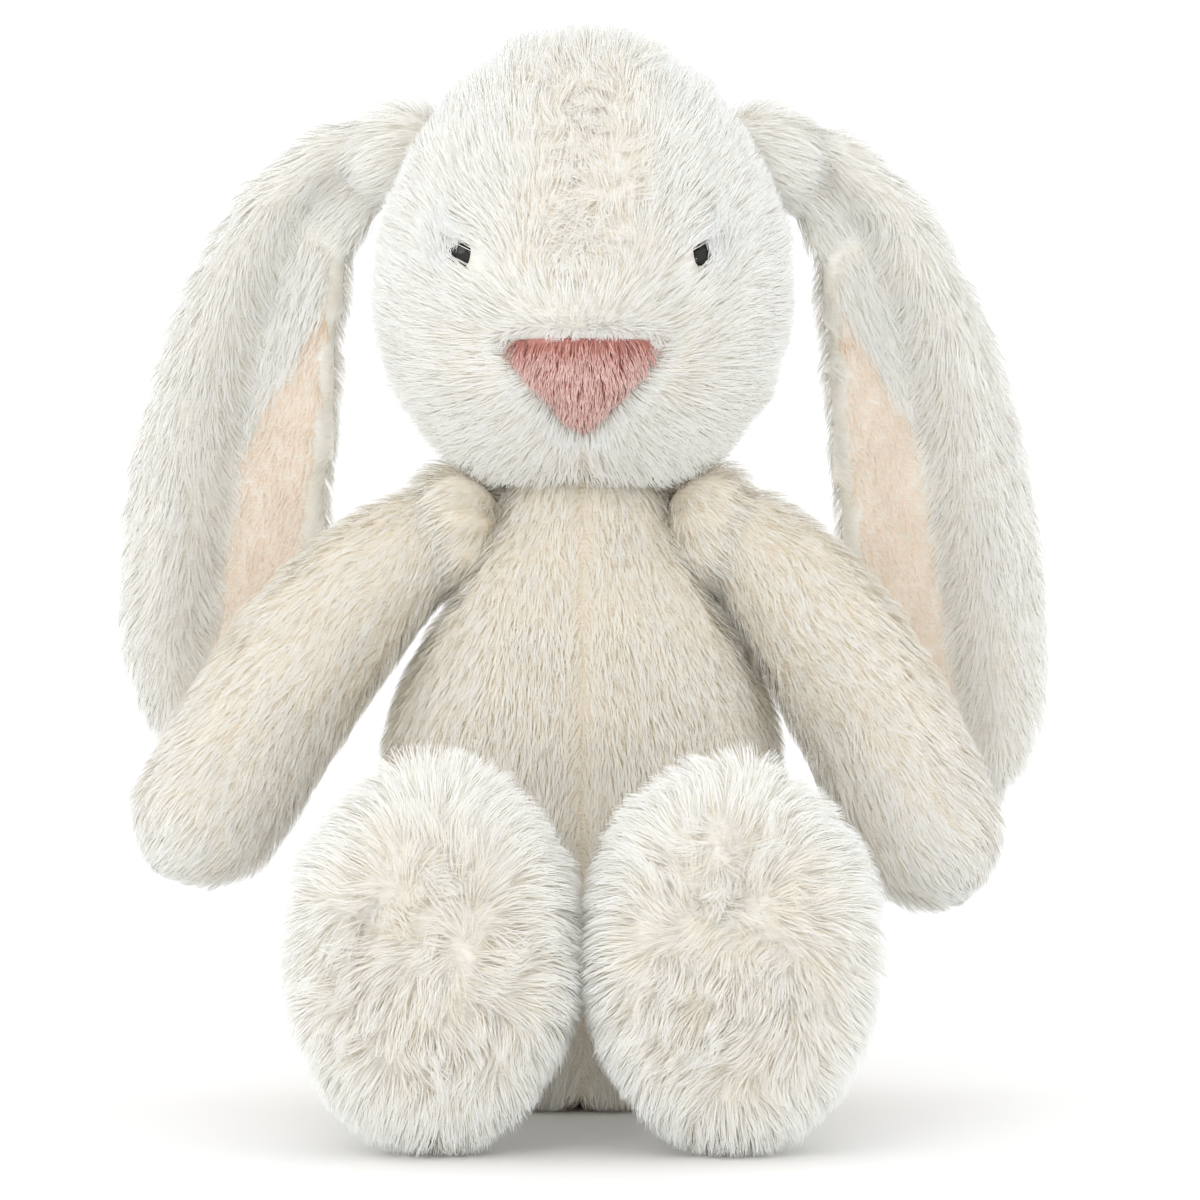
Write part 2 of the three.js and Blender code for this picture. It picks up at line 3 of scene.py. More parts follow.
import bmesh
import bpy
import numpy as np
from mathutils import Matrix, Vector
from mathutils.bvhtree import BVHTree
from mathutils.kdtree import KDTree


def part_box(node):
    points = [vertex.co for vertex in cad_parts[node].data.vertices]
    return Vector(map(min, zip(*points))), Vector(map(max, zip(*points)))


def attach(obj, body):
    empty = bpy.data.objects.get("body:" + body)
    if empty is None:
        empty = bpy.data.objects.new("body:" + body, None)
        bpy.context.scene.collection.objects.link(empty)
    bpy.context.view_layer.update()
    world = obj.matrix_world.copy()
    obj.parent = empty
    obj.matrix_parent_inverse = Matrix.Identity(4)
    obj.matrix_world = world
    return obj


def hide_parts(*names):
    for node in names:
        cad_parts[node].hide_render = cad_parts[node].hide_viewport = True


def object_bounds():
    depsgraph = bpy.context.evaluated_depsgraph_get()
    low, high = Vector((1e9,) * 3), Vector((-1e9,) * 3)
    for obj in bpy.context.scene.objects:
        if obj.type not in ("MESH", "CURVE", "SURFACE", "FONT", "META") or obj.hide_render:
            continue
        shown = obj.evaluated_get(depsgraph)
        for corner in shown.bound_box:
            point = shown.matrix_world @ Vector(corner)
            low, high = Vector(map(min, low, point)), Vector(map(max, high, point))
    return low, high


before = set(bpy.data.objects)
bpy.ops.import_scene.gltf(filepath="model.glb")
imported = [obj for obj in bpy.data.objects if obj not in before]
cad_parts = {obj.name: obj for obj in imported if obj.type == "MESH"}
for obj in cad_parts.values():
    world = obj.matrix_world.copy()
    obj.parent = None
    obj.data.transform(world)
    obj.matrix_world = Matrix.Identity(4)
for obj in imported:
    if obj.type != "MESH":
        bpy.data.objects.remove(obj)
cad_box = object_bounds()

# Lengths are in millimetres until a mesh is made. The toy faces -Y, and its own left is +X.
MM = 0.001
FUR_SHARE = 1.0
SIDES = {"left": 1, "right": -1}
MAX_BLADES = 38000
# pile pressed flat against the floor ends here
LOWEST = cad_box[0].z / MM - 1.2

scene = bpy.context.scene

# ---------------------------------------------------------------- camera and light

CAMERA_AIM = (4.5, 27.0, 131.0)
CAMERA_DISTANCE = 1200.0
CAMERA_HEIGHT_DEG = 1.0
LENS = 135.8
SENSOR = 36.0

rise = math.radians(CAMERA_HEIGHT_DEG)
camera_data = bpy.data.cameras.new("camera")
camera_data.lens = LENS
camera_data.sensor_width = SENSOR
camera_data.clip_start = 0.05
camera_data.clip_end = 50
camera = bpy.data.objects.new("camera", camera_data)
scene.collection.objects.link(camera)
back = Vector((0, -math.cos(rise), math.sin(rise)))
camera.location = (Vector(CAMERA_AIM) + back * CAMERA_DISTANCE) * MM
camera.rotation_mode = "QUATERNION"
camera.rotation_quaternion = (-back).to_track_quat("-Z", "Y")
scene.camera = camera

scene.view_settings.view_transform = "Standard"
scene.cycles.max_bounces = 12
scene.cycles.diffuse_bounces = 8

world = bpy.data.worlds.new("studio")
world.use_nodes = True
world.node_tree.nodes["Background"].inputs["Color"].default_value = (1, 1, 1, 1)
world.node_tree.nodes["Background"].inputs["Strength"].default_value = 1.12
scene.world = world


def area_light(name, place, aim, size, energy, colour):
    """A square soft box at place, in metres, facing aim."""
    data = bpy.data.lights.new(name, "AREA")
    data.size = size
    data.energy = energy
    data.color = colour
    light = bpy.data.objects.new(name, data)
    scene.collection.objects.link(light)
    light.location = place
    light.rotation_mode = "QUATERNION"
    light.rotation_quaternion = (Vector(aim) - Vector(place)).to_track_quat("-Z", "Y")


area_light("key", (-0.6, -1.3, 0.8), (0, 0, 0.14), 0.8, 3.6, (1.0, 0.99, 0.975))
area_light("top", (0.2, 0.3, 1.5), (0, 0, 0.14), 0.8, 0.6, (0.97, 0.985, 1.0))


# ---------------------------------------------------------------- materials


def srgb(*rgb):
    """Linear colour of an sRGB one given from 0 to 255."""
    c = np.array(rgb, float) / 255
    linear = np.where(c <= 0.04045, c / 12.92, ((c + 0.055) / 1.055) ** 2.4)
    return (*linear.tolist(), 1.0)


def new_material(name):
    """A material with its node tree, its links and its Principled node."""
    material = bpy.data.materials.new(name)
    material.use_nodes = True
    tree = material.node_tree
    return material, tree, tree.nodes["Principled BSDF"]


def fibre_material(name, colour):
    """One tone of pile. A fibre shades from root to tip by the tones of its own faces."""
    material, _, shader = new_material(name)
    shader.inputs["Base Color"].default_value = srgb(*colour)
    shader.inputs["Roughness"].default_value = 0.75
    shader.inputs["Specular IOR Level"].default_value = 0.2
    shader.inputs["Sheen Weight"].default_value = 0.25
    shader.inputs["Sheen Roughness"].default_value = 0.5
    return material


def cloth_material(name, low, high, weave, depth, rough=0.9):
    """Knitted backing cloth: mottled between two colours, with a fine knit in its bump."""
    material, tree, shader = new_material(name)
    nodes, links = tree.nodes, tree.links
    place = nodes.new("ShaderNodeTexCoord")
    mottle = nodes.new("ShaderNodeTexNoise")
    mottle.inputs["Scale"].default_value = 90
    mottle.inputs["Detail"].default_value = 5
    ramp = nodes.new("ShaderNodeValToRGB")
    ramp.color_ramp.elements[0].position = 0.35
    ramp.color_ramp.elements[0].color = srgb(*low)
    ramp.color_ramp.elements[1].position = 0.7
    ramp.color_ramp.elements[1].color = srgb(*high)
    knit = nodes.new("ShaderNodeTexWave")
    knit.wave_type = "BANDS"
    knit.bands_direction = "Z"
    knit.inputs["Scale"].default_value = weave
    knit.inputs["Distortion"].default_value = 3
    knit.inputs["Detail"].default_value = 2
    bump = nodes.new("ShaderNodeBump")
    bump.inputs["Strength"].default_value = depth
    bump.inputs["Distance"].default_value = 0.0004
    links.new(place.outputs["Object"], mottle.inputs["Vector"])
    links.new(place.outputs["Object"], knit.inputs["Vector"])
    links.new(mottle.outputs["Fac"], ramp.inputs["Fac"])
    links.new(ramp.outputs["Color"], shader.inputs["Base Color"])
    links.new(knit.outputs["Fac"], bump.inputs["Height"])
    links.new(bump.outputs["Normal"], shader.inputs["Normal"])
    shader.inputs["Roughness"].default_value = rough
    shader.inputs["Sheen Weight"].default_value = 0.3
    return material


def gloss_material(name, low, high, rough_low, rough_high):
    """Moulded plastic: a faint mottle in its colour and in its polish."""
    material, tree, shader = new_material(name)
    nodes, links = tree.nodes, tree.links
    place = nodes.new("ShaderNodeTexCoord")
    mottle = nodes.new("ShaderNodeTexNoise")
    mottle.inputs["Scale"].default_value = 400
    mottle.inputs["Detail"].default_value = 4
    ramp = nodes.new("ShaderNodeValToRGB")
    ramp.color_ramp.elements[0].color = srgb(*low)
    ramp.color_ramp.elements[1].color = srgb(*high)
    polish = nodes.new("ShaderNodeMapRange")
    polish.inputs["To Min"].default_value = rough_low
    polish.inputs["To Max"].default_value = rough_high
    links.new(place.outputs["Object"], mottle.inputs["Vector"])
    links.new(mottle.outputs["Fac"], ramp.inputs["Fac"])
    links.new(ramp.outputs["Color"], shader.inputs["Base Color"])
    links.new(mottle.outputs["Fac"], polish.inputs["Value"])
    links.new(polish.outputs["Result"], shader.inputs["Roughness"])
    return material


def grain_material(name, low, high, scale, depth):
    """Beads or tangled fibre: cells of two tones with rounded bumps."""
    material, tree, shader = new_material(name)
    nodes, links = tree.nodes, tree.links
    place = nodes.new("ShaderNodeTexCoord")
    cells = nodes.new("ShaderNodeTexVoronoi")
    cells.inputs["Scale"].default_value = scale
    # Each cell is pale at its middle and darker towards its edge, where its bump dips: painted shade
    # between the beads or tufts.
    ramp = nodes.new("ShaderNodeValToRGB")
    ramp.color_ramp.elements[0].color = srgb(*high)
    ramp.color_ramp.elements[1].color = srgb(*low)
    bump = nodes.new("ShaderNodeBump")
    bump.invert = True
    bump.inputs["Strength"].default_value = depth
    bump.inputs["Distance"].default_value = 0.001
    links.new(place.outputs["Object"], cells.inputs["Vector"])
    links.new(cells.outputs["Distance"], ramp.inputs["Fac"])
    links.new(ramp.outputs["Color"], shader.inputs["Base Color"])
    links.new(cells.outputs["Distance"], bump.inputs["Height"])
    links.new(bump.outputs["Normal"], shader.inputs["Normal"])
    shader.inputs["Roughness"].default_value = 0.8
    return material


# Each ladder runs from root to tip. The darker root and lower tones are partly a slight root tint and
# partly painted shade deep in the pile.
WHITE_PILE = [
    fibre_material("white_pile_root", (243, 241, 234)),
    fibre_material("white_pile_lower", (246, 245, 240)),
    fibre_material("white_pile_warm", (247, 247, 243)),
    fibre_material("white_pile_tip", (248, 250, 249)),
]
CREAM_PILE = [
    fibre_material("cream_pile_root", (247, 240, 225)),
    fibre_material("cream_pile_lower", (249, 244, 232)),
    fibre_material("cream_pile_warm", (250, 247, 237)),
    fibre_material("cream_pile_tip", (250, 249, 242)),
]
# The lining's peach is partly a pinkish lining and partly painted shade of the ear's shadowed inside.
LINING_PILE = [
    fibre_material("lining_pile_root", (247, 227, 206)),
    fibre_material("lining_pile_lower", (249, 235, 218)),
    fibre_material("lining_pile_warm", (250, 239, 225)),
    fibre_material("lining_pile_tip", (251, 244, 234)),
]
ROSE_PILE = [
    fibre_material("rose_pile_root", (206, 146, 134)),
    fibre_material("rose_pile_lower", (224, 178, 168)),
    fibre_material("rose_pile_warm", (230, 190, 181)),
    fibre_material("rose_pile_tip", (238, 208, 201)),
]
CREAM_CLOTH = cloth_material("cream_backing", (240, 236, 226), (247, 245, 239), 260, 0.25)
BODY_CLOTH = cloth_material("body_backing", (242, 232, 213), (248, 241, 227), 260, 0.25)
# The lining backing's peach is likewise partly a pinkish cloth and partly painted shade.
LINING_CLOTH = cloth_material("lining_backing", (240, 218, 196), (247, 230, 211), 320, 0.25)
ROSE_CLOTH = cloth_material("rose_backing", (176, 112, 103), (200, 140, 130), 320, 0.25)
THREAD = cloth_material("sewing_thread", (214, 196, 168), (238, 226, 204), 900, 0.8)
POUCH_CLOTH = cloth_material("pouch_cloth", (206, 202, 192), (226, 223, 214), 600, 0.7)
EYE_BLACK = gloss_material("eye_black", (6, 5, 5), (24, 20, 19), 0.05, 0.14)
WASHER = gloss_material("washer_plastic", (206, 206, 200), (226, 226, 221), 0.35, 0.5)
FIBRE_FILLING = grain_material("fibre_filling", (228, 226, 220), (246, 245, 241), 160, 0.6)
PELLETS = grain_material("pellets", (198, 196, 188), (242, 241, 236), 330, 1.0)


# ---------------------------------------------------------------- arrays and noise


def unit(v):
    """Each row of v at length 1."""
    return v / np.maximum(np.linalg.norm(v, axis=-1, keepdims=True), 1e-9)


def flat_on(v, n):
    """The part of each row of v that lies in the surface with normal n, at length 1."""
    return unit(v - n * np.sum(v * n, axis=1, keepdims=True))


def bell(distance, width):
    """1 at distance 0, falling to almost nothing past twice the width."""
    return np.exp(-((distance / width) ** 2))


def ramp_up(value, low, high):
    """0 below low, 1 above high, smooth between."""
    t = np.clip((value - low) / (high - low), 0, 1)
    return t * t * (3 - 2 * t)


def lattice(points, size, seed):
    """Smooth noise from -1 to 1 at each point, in blobs about size wide."""
    side = 32
    grid = np.random.default_rng(seed).uniform(-1, 1, (side, side, side))
    q = points / size + 1000
    cell = np.floor(q).astype(int)
    f = q - cell
    f = f * f * (3 - 2 * f)
    total = np.zeros(len(points))
    for corner in np.ndindex(2, 2, 2):
        share = np.prod(np.where(np.array(corner) == 1, f, 1 - f), axis=1)
        at = (cell + np.array(corner)) % side
        total += share * grid[at[:, 0], at[:, 1], at[:, 2]]
    return total


def lattice_vector(points, size, seed):
    """Three lattice noises at each point."""
    return np.stack([lattice(points, size, seed + i) for i in range(3)], axis=1)


# ---------------------------------------------------------------- covers


def node_arrays(names):
    """Vertices in millimetres, and triangles, of CAD nodes taken together."""
    points, faces, start = [], [], 0
    for name in names:
        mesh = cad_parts[name].data
        mesh.calc_loop_triangles()
        co = np.zeros(len(mesh.vertices) * 3)
        mesh.vertices.foreach_get("co", co)
        tri = np.zeros(len(mesh.loop_triangles) * 3, int)
        mesh.loop_triangles.foreach_get("vertices", tri)
        points.append(co.reshape(-1, 3) / MM)
        faces.append(tri.reshape(-1, 3) + start)
        start += len(mesh.vertices)
    return np.concatenate(points), np.concatenate(faces)


def mesh_object(name, points, faces):
    """An object from vertices in millimetres and faces."""
    mesh = bpy.data.meshes.new(name)
    mesh.from_pydata((np.asarray(points) * MM).tolist(), [], np.asarray(faces).tolist())
    mesh.update()
    made = bpy.data.objects.new(name, mesh)
    scene.collection.objects.link(made)
    return made


def apply_modifiers(piece):
    """Puts the piece's modifiers into its mesh."""
    graph = bpy.context.evaluated_depsgraph_get()
    made = bpy.data.meshes.new_from_object(piece.evaluated_get(graph))
    piece.modifiers.clear()
    piece.data = made
    return piece


def outer_island(piece):
    """Keeps only the part of the mesh that reaches furthest, which is its outer skin."""
    bm = bmesh.new()
    bm.from_mesh(piece.data)
    left = set(bm.verts)
    islands = []
    while left:
        grown = [left.pop()]
        island = set(grown)
        while grown:
            for edge in grown.pop().link_edges:
                for vert in edge.verts:
                    if vert not in island:
                        island.add(vert)
                        grown.append(vert)
        left -= island
        islands.append(island)
    largest = max(islands, key=len)
    bmesh.ops.delete(bm, geom=[v for v in bm.verts if v not in largest], context="VERTS")
    bm.to_mesh(piece.data)
    bm.free()
    return piece


def points_of(piece):
    """The piece's vertices in millimetres."""
    co = np.zeros(len(piece.data.vertices) * 3)
    piece.data.vertices.foreach_get("co", co)
    return co.reshape(-1, 3) / MM


def normals_of(piece):
    """The piece's vertex normals."""
    n = np.zeros(len(piece.data.vertices) * 3)
    piece.data.vertices.foreach_get("normal", n)
    return n.reshape(-1, 3)


def move_points(piece, points):
    """Puts the piece's vertices at points in millimetres."""
    piece.data.vertices.foreach_set("co", (points * MM).astype(np.float32).ravel())
    piece.data.update()


def smooth(piece, steps):
    """Evens out the mesh by that many passes."""
    modifier = piece.modifiers.new("even", "SMOOTH")
    modifier.factor = 0.5
    modifier.iterations = steps
    return apply_modifiers(piece)


def fill_out(piece, pressure, cap):
    """Stuffs the cover: cloth pushed out from inside, each point by no more than cap."""
    rest = points_of(piece)
    modifier = piece.modifiers.new("stuffed", "CLOTH")
    settings = modifier.settings
    settings.use_pressure = True
    settings.uniform_pressure_force = pressure
    settings.effector_weights.gravity = 0
    modifier.point_cache.frame_start = 1
    modifier.point_cache.frame_end = 20
    for step in range(1, 21):
        scene.frame_set(step)
    graph = bpy.context.evaluated_depsgraph_get()
    blown = piece.evaluated_get(graph).data
    co = np.zeros(len(blown.vertices) * 3)
    blown.vertices.foreach_get("co", co)
    moved = co.reshape(-1, 3) / MM - rest
    piece.modifiers.clear()
    scene.frame_set(1)
    moved -= moved.mean(axis=0)
    far = np.linalg.norm(moved, axis=1, keepdims=True)
    moved *= np.minimum(1, cap / np.maximum(far, 1e-9))
    move_points(piece, rest + moved)
    return piece


def reach(points, names):
    """Distance from each point to each named CAD node, and the way to the nearest point of it."""
    far, way = [], []
    for name in names:
        verts, faces = node_arrays([name])
        tree = BVHTree.FromPolygons(verts.tolist(), faces.tolist())
        hits = [tree.find_nearest(p) for p in points.tolist()]
        far.append([h[3] for h in hits])
        way.append(np.array([h[0][:] for h in hits]) - points)
    return np.array(far).T, np.stack(way, axis=1)


def cover(name, body, panels, inside, voxel, inset, evens, cap, cloth, seam=1.0):
    """The sewn and stuffed cover of one body, in place of its CAD panels."""
    points, faces = node_arrays(panels + inside)
    piece = mesh_object(name, points, faces)
    remesh = piece.modifiers.new("skin", "REMESH")
    remesh.mode = "VOXEL"
    remesh.voxel_size = voxel * MM
    apply_modifiers(piece)
    outer_island(piece)
    smooth(piece, evens)
    move_points(piece, points_of(piece) - normals_of(piece) * inset)
    smooth(piece, 2)
    if cap:
        fill_out(piece, 4.0, cap)
        smooth(piece, 1)
    finer = piece.modifiers.new("finer", "SUBSURF")
    finer.levels = 1
    finer.render_levels = 1
    apply_modifiers(piece)
    far, way = reach(points_of(piece), panels)
    if len(panels) > 1:
        groove = np.sort(far, axis=1)[:, 1] - inset
        drop = seam * bell(np.maximum(groove, 0), 2.5)
        move_points(piece, points_of(piece) - normals_of(piece) * drop[:, None])
    piece.data.polygons.foreach_set("use_smooth", np.ones(len(piece.data.polygons), bool))
    piece.data.materials.clear()
    piece.data.materials.append(cloth)
    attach(piece, body)
    return piece, far, way


# ---------------------------------------------------------------- pile


def scatter(piece, far, way, per_mm2, seed):
    """Random places on a cover, with its normals and its distances to the CAD panels."""
    mesh = piece.data
    mesh.calc_loop_triangles()
    tri = np.zeros(len(mesh.loop_triangles) * 3, int)
    mesh.loop_triangles.foreach_get("vertices", tri)
    tri = tri.reshape(-1, 3)
    points, normals = points_of(piece), normals_of(piece)
    corners = points[tri]
    cross = np.cross(corners[:, 1] - corners[:, 0], corners[:, 2] - corners[:, 0])
    area = np.linalg.norm(cross, axis=1) / 2
    rng = np.random.default_rng(seed)
    count = int(area.sum() * per_mm2 * FUR_SHARE)
    pick = rng.choice(len(tri), count, p=area / area.sum())
    a, b = rng.random(count), rng.random(count)
    a, b = np.where(a + b > 1, 1 - a, a), np.where(a + b > 1, 1 - b, b)
    share = np.stack([1 - a - b, a, b], axis=1)[:, :, None]
    return {
        "p": (corners[pick] * share).sum(axis=1),
        "n": unit((normals[tri[pick]] * share).sum(axis=1)),
        "far": (far[tri[pick]] * share).sum(axis=1),
        "way": (way[tri[pick]] * share[..., None]).sum(axis=1),
    }


def keep_only(spots, mask):
    """The chosen rows of every array of spots."""
    return {key: value[mask] for key, value in spots.items()}


def nearest_of(points, centres):
    """Index of the centre nearest to each point."""
    tree = KDTree(len(centres))
    for i, c in enumerate(centres.tolist()):
        tree.insert(c, i)
    tree.balance()
    return np.array([tree.find(p)[1] for p in points.tolist()])


BEND = np.array([0.0, 0.38, 0.72, 1.0])
TAPER = np.array([1.0, 0.9, 0.62])


def tips_of(spots):
    """Where each fibre would end, before tufts draw it in."""
    lift = spots["lift"][:, None]
    rise_part = spots["n"] * np.sin(lift)
    along = spots["flow"] * np.cos(lift)
    return (rise_part + along) * spots["length"][:, None]


def pile(name, body, spots, tones, slot, seed, tuft=3.0, draw=0.6, big_tuft=None, width=0.215):
    """Fur made of tapered blades, each from a spot of the cover, drawn into tufts."""
    rng = np.random.default_rng(seed)
    count = len(spots["p"])
    p, n = spots["p"], spots["n"]
    jitter = rng.normal(0, 1, (count, 3))
    spots["flow"] = flat_on(spots["flow"] + 0.17 * jitter, n)
    spots["length"] = spots["length"] * rng.uniform(0.82, 1.08, count)
    reach_out = tips_of(spots)
    levels = [(tuft, draw)] + ([big_tuft] if big_tuft else [])
    pull = np.zeros((count, 3))
    for spread, strength in levels:
        groups = max(2, int(count / FUR_SHARE / (spread * spread * 1.2)))
        leaders = rng.choice(count, min(groups, count), replace=False)
        lead = leaders[nearest_of(p, p[leaders])]
        strength = strength * rng.uniform(0.5, 1.2, count)[lead]
        meet = p[lead] + reach_out[lead] * rng.uniform(0.85, 1.1, count)[lead][:, None]
        shift = (meet - p - reach_out) * np.minimum(strength, 0.95)[:, None]
        limit = 0.7 * spots["length"]
        size = np.linalg.norm(shift, axis=1)
        pull += shift * np.minimum(1, limit / np.maximum(size, 1e-9))[:, None]
    side = unit(np.cross(reach_out, n))
    roll = rng.normal(0, 0.32, count)[:, None]
    side = unit(side * np.cos(roll) + n * np.sin(roll))
    wave = rng.normal(0, 0.07, count)[:, None] * spots["length"][:, None]
    half = width / 2 * 1.0 * rng.uniform(0.7, 1.2, count)
    lift = spots["lift"][:, None]
    length = spots["length"][:, None]
    rows = []
    for i, s in enumerate(BEND):
        up = n * np.sin(lift) * (s + 0.55 * s * (1 - s))
        on = spots["flow"] * np.cos(lift) * (s - 0.28 * s * (1 - s))
        middle = p + (up + on) * length + pull * s**1.6
        middle = middle + side * wave * np.sin(s * 3.0)
        if i < len(TAPER):
            edge = side * (half * TAPER[i])[:, None]
            rows += [middle - edge, middle + edge]
        else:
            rows.append(middle)
    verts = np.stack(rows, axis=1)
    verts[:, :, 2] = np.maximum(verts[:, :, 2], LOWEST)
    blade = unit(np.cross(side, verts[:, 6] - p))
    blade = blade * np.sign(np.sum(blade * n, axis=1, keepdims=True) + 1e-9)
    shade = unit(n + 0.08 * blade + 0.03 * rng.normal(0, 1, (count, 3)))
    # The first face of each fibre always takes the root tone, and a higher warm value takes darker tones
    # further up the fibre: partly a slight root tint, partly painted shade.
    warm = spots["warm"] + rng.normal(0, 0.2, count)
    lower = np.where(warm > 0.75, 0, 1)
    upper = np.where(warm > 0.9, 1, np.where(warm > 0.45, 2, 3))
    other = 4 * (rng.random(count) < spots["other"]) if "other" in spots else np.zeros(count, int)
    index = np.stack([other, lower + other, upper + other], axis=1)
    made = []
    for part, start in enumerate(range(0, count, MAX_BLADES)):
        some = slice(start, min(start + MAX_BLADES, count))
        made.append(
            blade_mesh(f"{name}_{part + 1}", verts[some], shade[some], index[some], tones)
        )
        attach(made[-1], body)
    return made


def blade_mesh(name, verts, shade, index, tones):
    """One mesh of blades: two four-sided faces and a pointed one each."""
    count = len(verts)
    mesh = bpy.data.meshes.new(name)
    base = (np.arange(count) * 7)[:, None]
    loops = base + np.array([0, 1, 3, 2, 2, 3, 5, 4, 4, 5, 6])
    starts = (np.arange(count) * 11)[:, None] + np.array([0, 4, 8])
    mesh.vertices.add(count * 7)
    mesh.loops.add(count * 11)
    mesh.polygons.add(count * 3)
    mesh.vertices.foreach_set("co", (verts * MM).astype(np.float32).ravel())
    mesh.loops.foreach_set("vertex_index", loops.astype(np.int32).ravel())
    mesh.polygons.foreach_set("loop_start", starts.astype(np.int32).ravel())
    for tone in tones:
        mesh.materials.append(tone)
    mesh.polygons.foreach_set("material_index", index.astype(np.int32).ravel())
    mesh.polygons.foreach_set("use_smooth", np.ones(count * 3, bool))
    mesh.update(calc_edges=True)
    normals = mesh.attributes.new("custom_normal", "FLOAT_VECTOR", "POINT")
    normals.data.foreach_set("vector", np.repeat(shade, 7, axis=0).astype(np.float32).ravel())
    made = bpy.data.objects.new(name, mesh)
    scene.collection.objects.link(made)
    return made


# ---------------------------------------------------------------- the toy


def finish_nodes(word, material):
    """Gives the material to every CAD node whose name holds the word."""
    for name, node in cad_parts.items():
        if word in name:
            node.data.materials.clear()
            node.data.materials.append(material)


finish_nodes("stuffing", FIBRE_FILLING)
finish_nodes("stitching", THREAD)
finish_nodes("washer", WASHER)
finish_nodes("pellet", PELLETS)
finish_nodes("pellet_pouch", POUCH_CLOTH)

DOWN = np.array([0.0, 0.0, -1.0])
NOSE_EDGE = 0.7
NOSE_LOW, NOSE_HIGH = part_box("nose_patch")
NOSE_AT = np.array([0.0, NOSE_LOW.y / MM, (NOSE_LOW.z + NOSE_HIGH.z) / 2 / MM + 2])
# where the muzzle's two warm puffs lie, outward and up
MUZZLE_OUT = 28
MUZZLE_UP = 190
# how far apart the rows of partings lie on the forehead, whose beige flecks are partly painted shade in
# the partings and partly a slight root tint
PARTING_EVERY = 4.6
# extra pile is set this near to an eye, and this near to the nose patch
LASH_REACH = 9
LID_REACH = 3.5
# each eye shows in a slit: its middle's step outward, its half width and its half height
EYE_OPEN = (0.6, 1.5, 4.0)
EYES = {side: np.array(sum(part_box(f"eye_{side}"), Vector()) / 2) / MM for side in SIDES}


